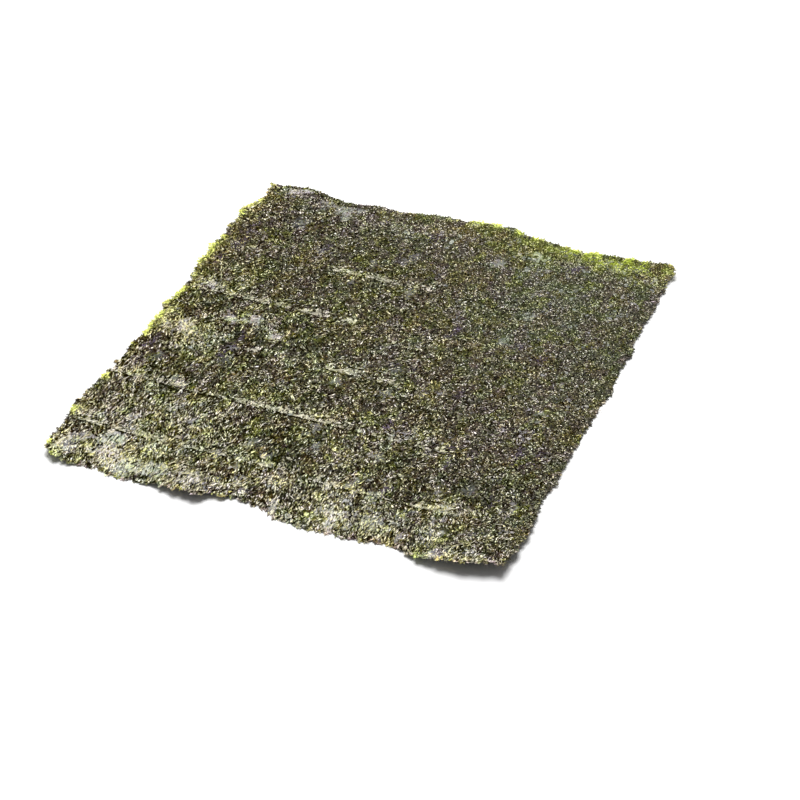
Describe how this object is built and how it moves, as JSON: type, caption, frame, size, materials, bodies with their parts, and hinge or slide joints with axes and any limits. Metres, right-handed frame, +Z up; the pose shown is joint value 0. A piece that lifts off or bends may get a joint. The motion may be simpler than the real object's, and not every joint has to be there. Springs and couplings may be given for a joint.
{
  "type": "roasted nori sheet",
  "caption": "Roasted nori sheet: a thin, stiff, dark green pressed seaweed mat with ragged edges that lift in low waves.",
  "frame": {"origin": "on the table, under the middle of the sheet", "axes": "+X along the front edge to the right, +Y from the front edge to the back one, +Z up"},
  "size_m": [0.1948, 0.2142, 0.005],
  "materials": {
    "nori": "roasted pressed seaweed: a dense mat of dark olive, purple-brown and pale straw-coloured shreds, semi-gloss in places"
  },
  "bodies": {
    "root": {"nori_sheet": "nori"}
  },
  "joints": []
}
